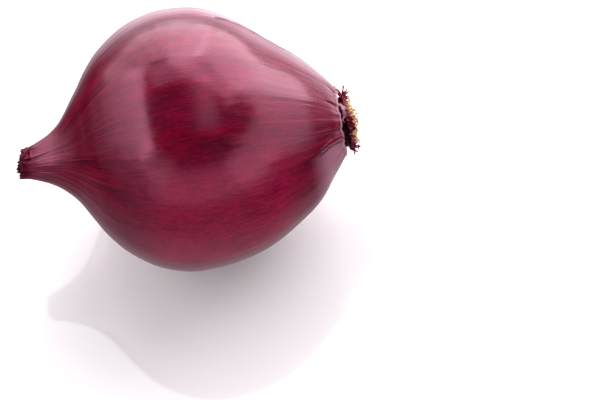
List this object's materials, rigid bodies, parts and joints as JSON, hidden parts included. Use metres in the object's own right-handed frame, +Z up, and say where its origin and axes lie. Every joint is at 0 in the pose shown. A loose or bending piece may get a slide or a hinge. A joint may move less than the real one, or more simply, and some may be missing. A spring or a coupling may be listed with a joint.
{
  "type": "onion",
  "caption": "Whole red onion lying on its side: glossy dry-skinned bulb with a drawn-out dried neck and a root end with a torn skin frill and curled dry roots.",
  "frame": {"origin": "middle of the small flat spot under the belly that the onion rests on", "axes": "+X along the onion towards its root end (the neck end is raised 3.5 degrees), +Y across it, +Z up"},
  "size_m": [0.1062, 0.08, 0.0791],
  "materials": {
    "skin": "glossy deep red-purple dry onion skin, finely veined from neck to root",
    "frill": "dull crimson and mauve torn papery scale ends",
    "roots": "dull golden-brown dried root fibre"
  },
  "bodies": {
    "root": {"bulb": "skin", "scale_frill": "frill", "roots": "roots"}
  },
  "joints": []
}
